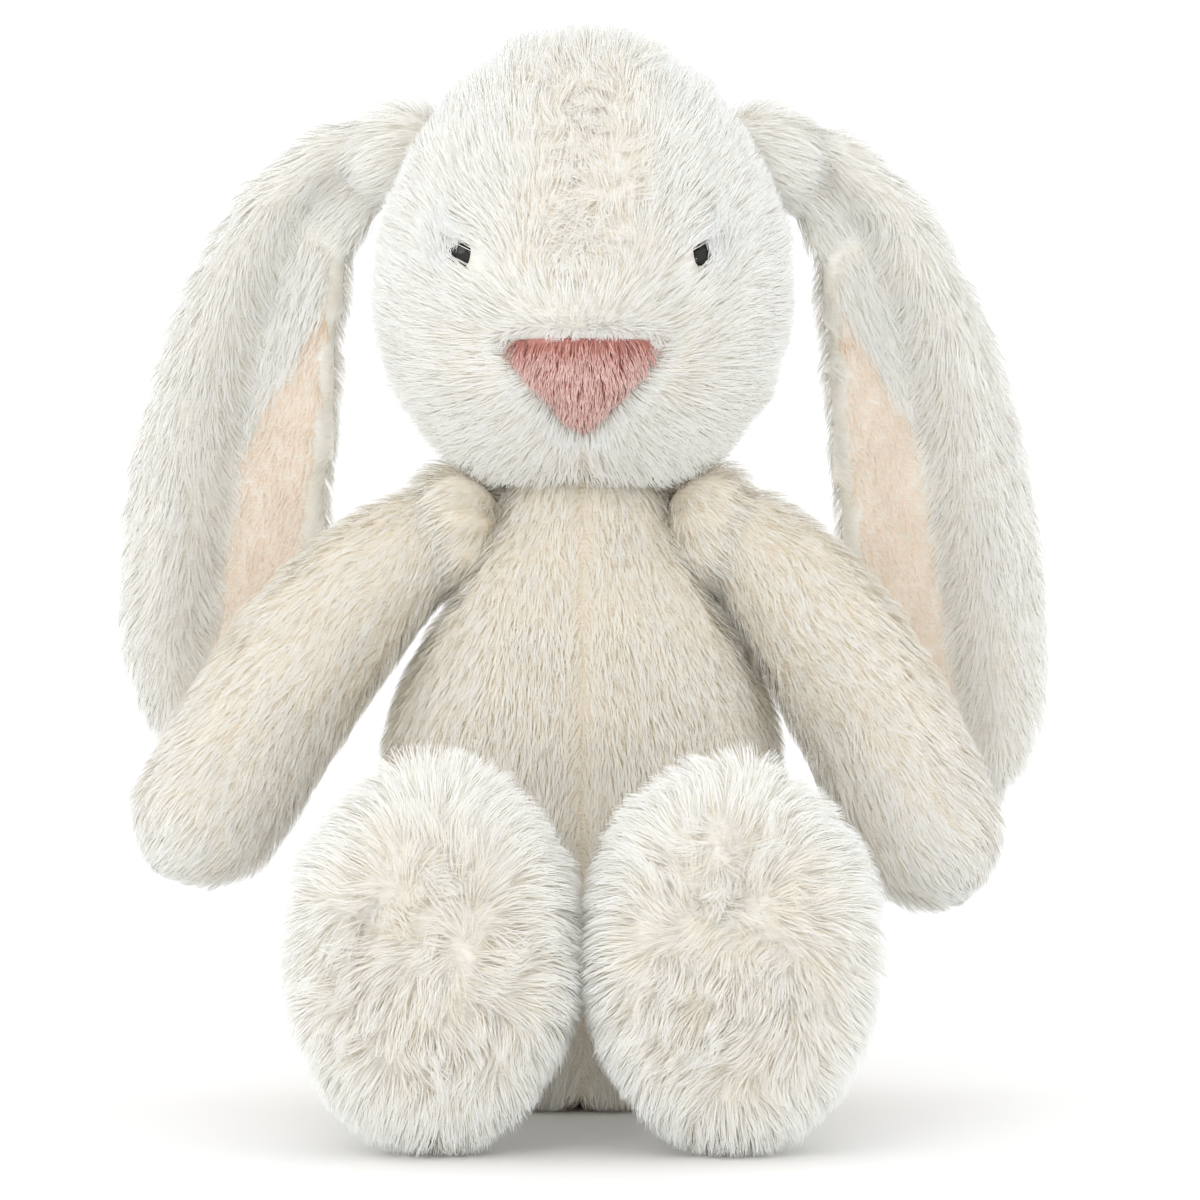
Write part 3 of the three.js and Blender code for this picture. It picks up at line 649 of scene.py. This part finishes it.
def head():
    """The head: cheeks and muzzle of white pile, with the parted strip over the forehead."""
    panels = ["head_gusset", "head_side_left", "head_side_right", "nose_patch"]
    piece, far, way = cover(
        "head_cover", "head", panels, ["head_stuffing"],
        voxel=4.0, inset=1.0, evens=2, cap=1.6,
        cloth=CREAM_CLOTH, seam=0.8,
    )
    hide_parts(*panels[:3])
    spots = scatter(piece, far, way, 2.0, 11)
    lashes = scatter(piece, far, way, 5.0, 29)
    close = [np.linalg.norm(lashes["p"] - e, axis=1) < LASH_REACH for e in EYES.values()]
    lashes = keep_only(lashes, close[0] | close[1] | (lashes["far"][:, 3] < LID_REACH))
    spots = {key: np.concatenate([spots[key], lashes[key]]) for key in spots}
    to_nose = spots["way"][:, 3]
    beside = to_nose - spots["n"] * np.sum(to_nose * spots["n"], axis=1, keepdims=True)
    spots["beside"] = beside
    spots["nose_gap"] = np.linalg.norm(beside, axis=1)
    near = np.maximum(NOSE_EDGE, 0.4 * np.linalg.norm(to_nose, axis=1))
    under = (spots["nose_gap"] < near) & (spots["far"][:, 3] < 12)
    spots = keep_only(spots, ~under)
    p, n, far, beside = spots["p"], spots["n"], spots["far"], spots["beside"]
    away = p - NOSE_AT
    rear = ramp_up(p[:, 1], 20, 45)[:, None]
    flow = unit(away) * (1 - rear) + DOWN * rear
    on_strip = (far[:, 0] < np.minimum(far[:, 1], far[:, 2])) & (p[:, 1] < 30)
    strip = on_strip * ramp_up(p[:, 2], 205, 216) * (1 - ramp_up(p[:, 2], 262, 276))
    strip = strip * ramp_up(np.minimum(far[:, 1], far[:, 2]) + 3 * lattice(p, 7, 24), 1, 13)
    ridge = p[:, 2] + 7 * lattice(p, 14, 21) + 2.5 * lattice(p, 5, 22)
    phase = 0.5 + 0.65 * np.sin(ridge * 2 * math.pi / PARTING_EVERY)
    parted = np.stack([0.5 * lattice(p, 6, 23), np.zeros(len(p)), phase], axis=1)
    flow = flow * (1 - strip)[:, None] + parted * strip[:, None]
    flow = flow + 0.28 * lattice_vector(p, 14, 31) + 0.2 * lattice_vector(p, 6, 35)
    from_eye = np.where(p[:, :1] > 0, p - EYES["left"], p - EYES["right"])
    eye_gap = np.linalg.norm(from_eye * np.array([1.5, 1.0, 1.0]), axis=1)
    outside = from_eye[:, 0] * np.sign(p[:, 0])
    flow[:, 0] -= 2.0 * np.sign(p[:, 0]) * ramp_up(outside, 0, 3) * bell(eye_gap, 9)
    lid = bell(spots["nose_gap"], 2.4) * (p[:, 2] > NOSE_HIGH.z / MM - 2)
    flow = flow * (1 - lid)[:, None] + (0.9 * unit(beside) + 0.5 * lattice_vector(p, 3, 38)) * lid[:, None]
    # The chin's middle parting. Its warmer, creamier tones set below are painted shade in the parting.
    chin = bell(p[:, 0], 2.2) * bell(p[:, 2] - 171, 3.5) * (1 - rear[:, 0])
    flow[:, 0] += 0.5 * np.sign(p[:, 0]) * chin
    spots["flow"] = flat_on(flow, n)
    spots["length"] = 9.5 - 2.5 * strip - 4.0 * bell(spots["nose_gap"], 6)
    spots["length"] *= 1 - 0.3 * bell(eye_gap, 7)
    crown = ramp_up(p[:, 2], 250, 276)
    spots["length"] += 2.5 * crown
    spots["length"] += (3.4 - spots["length"]) * lid
    by_nose = bell(spots["nose_gap"], 5)
    lift = 25 + 6 * lattice(p, 8, 41) + 7 * strip + 16 * by_nose + 14 * crown + 12 * bell(eye_gap, 9)
    spots["lift"] = np.radians(lift)
    puffs = [np.array([k * MUZZLE_OUT, NOSE_AT[1] + 8, MUZZLE_UP]) for k in SIDES.values()]
    muzzle = sum(bell(np.linalg.norm(p - puff, axis=1), 11) for puff in puffs)
    # Beige flecks along the forehead's partings, and more cream pile over the strip: partly painted shade
    # in the partings, partly a slight root tint.
    parting_shade_and_tint = strip * np.maximum(0, np.cos(ridge * 2 * math.pi / PARTING_EVERY))
    spots["warm"] = 0.1 + 0.5 * parting_shade_and_tint + 0.4 * muzzle + 0.5 * chin + 0.15 * lattice(p, 12, 43)
    spots["other"] = 0.5 * strip + 0.4 * muzzle + 0.4 * chin
    reach_out = tips_of(spots)
    toward = np.sum(spots["flow"] * unit(beside), axis=1)
    clear = (toward < 0.15) | (spots["nose_gap"] > spots["length"]) | (lid > 0.3)
    for share in (0, 0.35, 0.7, 1.0):
        at = from_eye + share * reach_out
        outward = (at[:, 0] * np.sign(p[:, 0]) - EYE_OPEN[0]) / EYE_OPEN[1]
        clear &= np.hypot(outward, at[:, 2] / EYE_OPEN[2]) > 1
    spots = keep_only(spots, clear)
    pile("head_pile", "head", spots, WHITE_PILE + CREAM_PILE, "cream_plush", 12, 1.6, 0.18, (6, 0.16))


def nose():
    """The nose: a plump rose patch of short pile that runs downwards."""
    piece, far, way = cover(
        "nose_cover", "head", ["nose_patch"], [],
        voxel=1.6, inset=0.9, evens=2, cap=0,
        cloth=ROSE_CLOTH,
    )
    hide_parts("nose_patch")
    spots = scatter(piece, far, way, 3.2, 13)
    spots = keep_only(spots, (spots["p"][:, 1] < NOSE_AT[1] + 16) & (spots["n"][:, 2] < 0.86))
    p, n = spots["p"], spots["n"]
    flow = np.tile(DOWN, (len(p), 1)) + 0.25 * lattice_vector(p, 5, 51)
    flow[:, 0] += 0.012 * p[:, 0]
    spots["flow"] = flat_on(flow, n)
    spots["length"] = 5.2 + 0.6 * lattice(p, 4, 55)
    spots["lift"] = np.radians(36 + 8 * lattice(p, 3, 56))
    # The darker band along the top of the nose is painted shade under the head's pile.
    top = NOSE_HIGH.z / MM
    spots["warm"] = 0.15 + 0.8 * ramp_up(p[:, 2] + lattice(p, 3, 57), top - 6, top - 2)
    pile("nose_pile", "head", spots, ROSE_PILE, "rose_plush", 14, 1.6, 0.45, None, 0.34)


def eye(side):
    """A domed safety eye, smooth and glossy."""
    points, faces = node_arrays([f"eye_{side}"])
    piece = mesh_object(f"eye_dome_{side}", points, faces)
    remesh = piece.modifiers.new("skin", "REMESH")
    remesh.mode = "VOXEL"
    remesh.voxel_size = 0.45 * MM
    apply_modifiers(piece)
    smooth(piece, 5)
    piece.data.polygons.foreach_set("use_smooth", np.ones(len(piece.data.polygons), bool))
    piece.data.materials.clear()
    piece.data.materials.append(EYE_BLACK)
    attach(piece, "head")
    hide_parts(f"eye_{side}")


def torso():
    """The body: short cream nap over the belly and back, parted along its seams."""
    panels = ["belly_left", "belly_right", "back_left", "back_right", "seat_panel"]
    piece, far, way = cover(
        "torso_cover", "torso", panels, ["torso_stuffing"],
        voxel=4.0, inset=1.4, evens=2, cap=2.0,
        cloth=BODY_CLOTH, seam=1.2,
    )
    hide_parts(*panels)
    spots = scatter(piece, far, way, 2.3, 15)
    p, n, far = spots["p"], spots["n"], spots["far"]
    front = p[:, 1] < 27
    seam = bell(p[:, 0] + 1.5 * lattice(p, 9, 64), 3.5) * front
    flow = np.tile(DOWN, (len(p), 1))
    flow = flow + 0.22 * lattice_vector(p, 16, 61) + 0.16 * lattice_vector(p, 5, 65)
    flow[:, 0] += 0.5 * np.sign(p[:, 0]) * seam
    spots["flow"] = flat_on(flow, n)
    spots["length"] = (7.5 + 1.0 * lattice(p, 12, 68)) * (1 - 0.3 * seam)
    spots["lift"] = np.radians(25 + 6 * lattice(p, 6, 69))
    # Warmer, creamier tones along the front seam are painted shade in its parting.
    spots["warm"] = 0.25 + 0.35 * seam + 0.25 * lattice(p, 9, 70)
    spots["other"] = 0.3 * (1 - seam)
    pile("torso_pile", "torso", spots, CREAM_PILE + WHITE_PILE, "body_plush", 16, 1.6, 0.2, (5, 0.16))


def tail():
    """The tail: a white pompom."""
    piece, far, way = cover(
        "tail_cover", "torso", ["tail_upper", "tail_lower"], ["tail_stuffing"],
        voxel=3.0, inset=3.5, evens=3, cap=1.5,
        cloth=CREAM_CLOTH, seam=0.6,
    )
    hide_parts("tail_upper", "tail_lower")
    spots = scatter(piece, far, way, 1.6, 17)
    p, n = spots["p"], spots["n"]
    flow = np.tile(DOWN, (len(p), 1)) + 0.9 * lattice_vector(p, 7, 71)
    spots["flow"] = flat_on(flow, n)
    spots["length"] = np.full(len(p), 11.0)
    spots["lift"] = np.radians(55 + 10 * lattice(p, 5, 75))
    spots["warm"] = 0.15 + 0.2 * lattice(p, 6, 76)
    pile("tail_pile", "torso", spots, WHITE_PILE, "cream_plush", 18, 2.6, 0.6, (6, 0.3))


# an ear's middle line, before its own drop: heights from the tip up, and how far out each lies
LOP_HEIGHTS = [80, 108, 134, 160, 184, 209, 233, 247]
LOP_MIDDLES = [104, 102, 98, 94, 90, 84, 74, 60]


def ear(side):
    """A lop ear: white pile outside that rolls over the rim, and a short peach lining, its peach partly a
    pinkish lining and partly painted shade of the ear's shadowed inside.
    """
    k = SIDES[side]
    body = f"ear_{side}"
    outer, lining = f"ear_outer_{side}", f"ear_lining_{side}"
    piece, far, way = cover(
        f"ear_cover_{side}", body, [outer, lining], [],
        voxel=3.0, inset=0.2, evens=2, cap=1.0,
        cloth=CREAM_CLOTH, seam=0.3,
    )
    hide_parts(outer)
    spots = scatter(piece, far, way, 1.8, 19)
    outside = spots["far"][:, 0] < spots["far"][:, 1]
    spots = keep_only(spots, outside)
    p, n = spots["p"], spots["n"]
    top = ramp_up(p[:, 2], 222, 250)
    along = np.stack([(0.3 + 0.8 * top) * k, np.full(len(p), 0.12), 0.55 * top - 1], axis=1)
    rim = bell(np.maximum(spots["far"][:, 1] - 2, 0), 7)
    over = unit(spots["way"][:, 1])
    flow = along + 1.3 * over * rim[:, None]
    flow = flow + 0.25 * lattice_vector(p, 13, 81) + 0.18 * lattice_vector(p, 5, 85)
    spots["flow"] = flat_on(flow, n)
    spots["length"] = 9.5 + 1.0 * lattice(p, 12, 88) - 2.0 * rim
    spots["lift"] = np.radians(22 + 6 * lattice(p, 7, 89))
    spots["warm"] = 0.12 + 0.2 * lattice(p, 10, 90)
    pile(f"ear_pile_{side}", body, spots, WHITE_PILE, "cream_plush", 20, 1.8, 0.22, (6, 0.2))

    inner, far, way = cover(
        f"ear_lining_cover_{side}", body, [lining], [],
        voxel=1.8, inset=0.3, evens=2, cap=0,
        cloth=LINING_CLOTH, seam=0.3,
    )
    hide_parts(lining)
    spots = scatter(inner, far, way, 2.0, 21)
    to_outer = reach(spots["p"], [outer])[0][:, 0]
    spots = keep_only(spots, to_outer > 2.6)
    p, n = spots["p"], spots["n"]
    middle = np.interp(p[:, 2], LOP_HEIGHTS, LOP_MIDDLES)
    folded = ramp_up(np.abs(p[:, 0]) - middle + 17 * ramp_up(p[:, 2], 165, 222), -1.5, 1.5)
    along = np.stack([np.full(len(p), 0.30 * k), np.full(len(p), 0.12), np.full(len(p), -1.0)], axis=1)
    flow = along + 0.3 * lattice_vector(p, 6, 91)
    spots["flow"] = flat_on(flow, n)
    spots["length"] = 6.5 + 3.5 * folded
    spots["lift"] = np.radians(28 + 7 * lattice(p, 5, 95))
    spots["warm"] = 0.3 + 0.25 * lattice(p, 7, 96) - 0.2 * folded
    over = folded > 0.5
    pile(f"ear_fold_pile_{side}", body, keep_only(spots, over), WHITE_PILE, "cream_plush", 21, 1.8, 0.25)
    pile(f"ear_lining_pile_{side}", body, keep_only(spots, ~over), LINING_PILE, "ear_lining", 22, 1.8, 0.3)


def arm(side):
    """An arm: cream nap running down to the paw."""
    k = SIDES[side]
    body = f"arm_{side}"
    panels = [f"arm_front_{side}", f"arm_back_{side}"]
    piece, far, way = cover(
        f"arm_cover_{side}", body, panels, [f"arm_stuffing_{side}"],
        voxel=3.6, inset=1.2, evens=2, cap=1.5,
        cloth=BODY_CLOTH, seam=1.0,
    )
    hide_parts(*panels)
    spots = scatter(piece, far, way, 1.9, 23)
    p, n = spots["p"], spots["n"]
    way_down = np.array([53.0 * k, -17.0, -70.0]) / 90
    flow = np.tile(way_down, (len(p), 1))
    flow = flow + 0.28 * lattice_vector(p, 14, 101) + 0.2 * lattice_vector(p, 5, 105)
    spots["flow"] = flat_on(flow, n)
    spots["length"] = 8.0 + 1.0 * lattice(p, 10, 108)
    spots["lift"] = np.radians(25 + 6 * lattice(p, 6, 109))
    spots["warm"] = 0.25 + 0.25 * lattice(p, 9, 110)
    spots["other"] = 0.4 + 0.55 * ramp_up(-p[:, 2], -115, -65)
    pile(f"arm_pile_{side}", body, spots, CREAM_PILE + WHITE_PILE, "body_plush", 24, 1.6, 0.2, (5.5, 0.18))


def gather(side):
    """The plush gathered round the shoulder's stitches, which closes the gap beside the arm."""
    low, high = (np.array(c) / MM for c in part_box(f"shoulder_stitching_{side}"))
    centre = (low + high) / 2 + np.array([2.0 * SIDES[side], 0, 2.0])
    bm = bmesh.new()
    bmesh.ops.create_icosphere(bm, subdivisions=4, radius=1)
    mesh = bpy.data.meshes.new(f"shoulder_gather_{side}")
    bm.to_mesh(mesh)
    bm.free()
    piece = bpy.data.objects.new(mesh.name, mesh)
    scene.collection.objects.link(piece)
    ball = points_of(piece) * MM
    folds = 1 + 0.05 * np.sin(9 * np.arctan2(ball[:, 2], ball[:, 1]))
    move_points(piece, centre + ball * np.array([11.5, 15.0, 16.0]) * folds[:, None])
    mesh.polygons.foreach_set("use_smooth", np.ones(len(mesh.polygons), bool))
    mesh.materials.append(BODY_CLOTH)
    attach(piece, f"shoulder_seam_{side}")
    none = np.zeros((len(mesh.vertices), 1))
    spots = scatter(piece, none, none[:, :, None] * np.zeros(3), 1.8, 27)
    p, n = spots["p"], spots["n"]
    along = np.tile(np.array([0.75 * SIDES[side], -0.15, -0.6]), (len(p), 1))
    flow = along + 0.25 * lattice_vector(p, 8, 131)
    spots["flow"] = flat_on(flow, n)
    spots["length"] = np.full(len(p), 8.5)
    spots["lift"] = np.radians(30 + 8 * lattice(p, 6, 135))
    spots["warm"] = 0.25 + 0.25 * lattice(p, 9, 136)
    spots["other"] = np.full(len(p), 0.4)
    tones = CREAM_PILE + WHITE_PILE
    tufts = (1.6, 0.2, (5.5, 0.18))
    pile(f"shoulder_pile_{side}", f"shoulder_seam_{side}", spots, tones, "body_plush", 28, *tufts)


def leg(side):
    """A leg: white pile back to the hip, and a large sole of tousled pile."""
    body = f"leg_{side}"
    panels = [f"leg_outer_{side}", f"leg_inner_{side}", f"foot_sole_{side}"]
    piece, far, way = cover(
        f"leg_cover_{side}", body, panels, [f"leg_stuffing_{side}"],
        voxel=4.0, inset=0.0, evens=2, cap=2.0,
        cloth=CREAM_CLOTH, seam=0.8,
    )
    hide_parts(*panels)
    spots = scatter(piece, far, way, 1.9, 25)
    p, n, far = spots["p"], spots["n"], spots["far"]
    low, high = (np.array(c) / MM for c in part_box(f"foot_sole_{side}"))
    middle = (low + high) / 2
    size = (high - low) / 2
    out = np.stack([(p[:, 0] - middle[0]) / size[0], (p[:, 2] - middle[2]) / size[2]], axis=1)
    ring = np.linalg.norm(out, axis=1)
    on_sole = (far[:, 2] < np.minimum(far[:, 0], far[:, 1])) & (n[:, 1] < 0.2)
    wild = on_sole * (1 - ramp_up(ring, 0.55, 0.9))
    radial = np.stack([out[:, 0], np.zeros(len(p)), out[:, 1]], axis=1)
    side_flow = np.tile(np.array([0.0, 0.5, -0.6]), (len(p), 1)) + 0.3 * radial
    flow = np.where(on_sole[:, None], radial + 0.5 * DOWN, side_flow)
    turn = wild * (1.5 * lattice(p, 8, 115) + 0.5 * lattice(p, 4, 116))
    cos, sin = np.cos(turn), np.sin(turn)
    across = flow[:, 0] * cos - flow[:, 2] * sin
    flow = np.stack([across, flow[:, 1], flow[:, 0] * sin + flow[:, 2] * cos], axis=1)
    flow = flow + 0.25 * lattice_vector(p, 13, 111) + 0.6 * wild[:, None] * lattice_vector(p, 4.5, 121)
    hollow = wild * ramp_up(lattice(p, 6, 117), 0.0, 0.7)
    spots["flow"] = flat_on(flow, n)
    spots["length"] = 10.0 + 2.0 * wild - 3.5 * hollow
    spots["lift"] = np.radians(25 + 6 * lattice(p, 7, 118) + 16 * wild - 8 * hollow)
    # The warmer, creamier tones on the tousled sole, most in its hollows, are painted shade between the
    # tufts.
    spots["warm"] = 0.12 + 0.1 * wild + 0.4 * hollow + 0.15 * lattice(p, 9, 119)
    spots["other"] = 0.5 * wild + 0.3 * hollow
    tufts = (2.2, 0.3, (6, 0.32))
    pile(f"leg_pile_{side}", body, spots, WHITE_PILE + CREAM_PILE, "cream_plush", 26, *tufts)


head()
nose()
torso()
tail()
for name in SIDES:
    eye(name)
    ear(name)
    arm(name)
    gather(name)
    leg(name)


# ---------------------------------------------------------------- floor


def floor():
    """A large pale floor, slightly mottled."""
    bm = bmesh.new()
    bmesh.ops.create_circle(bm, cap_ends=True, segments=96, radius=6)
    mesh = bpy.data.meshes.new("floor")
    bm.to_mesh(mesh)
    bm.free()
    made = bpy.data.objects.new("floor", mesh)
    scene.collection.objects.link(made)
    material, tree, shader = new_material("floor_paper")
    nodes, links = tree.nodes, tree.links
    place = nodes.new("ShaderNodeTexCoord")
    mottle = nodes.new("ShaderNodeTexNoise")
    mottle.inputs["Scale"].default_value = 3
    ramp = nodes.new("ShaderNodeValToRGB")
    ramp.color_ramp.elements[0].color = srgb(250, 250, 250)
    ramp.color_ramp.elements[1].color = srgb(253, 253, 253)
    links.new(place.outputs["Object"], mottle.inputs["Vector"])
    links.new(mottle.outputs["Fac"], ramp.inputs["Fac"])
    links.new(ramp.outputs["Color"], shader.inputs["Base Color"])
    shader.inputs["Roughness"].default_value = 0.9
    shader.inputs["Specular IOR Level"].default_value = 0.1
    mesh.materials.append(material)
    made.location.z = cad_box[0].z - 0.0015


floor()
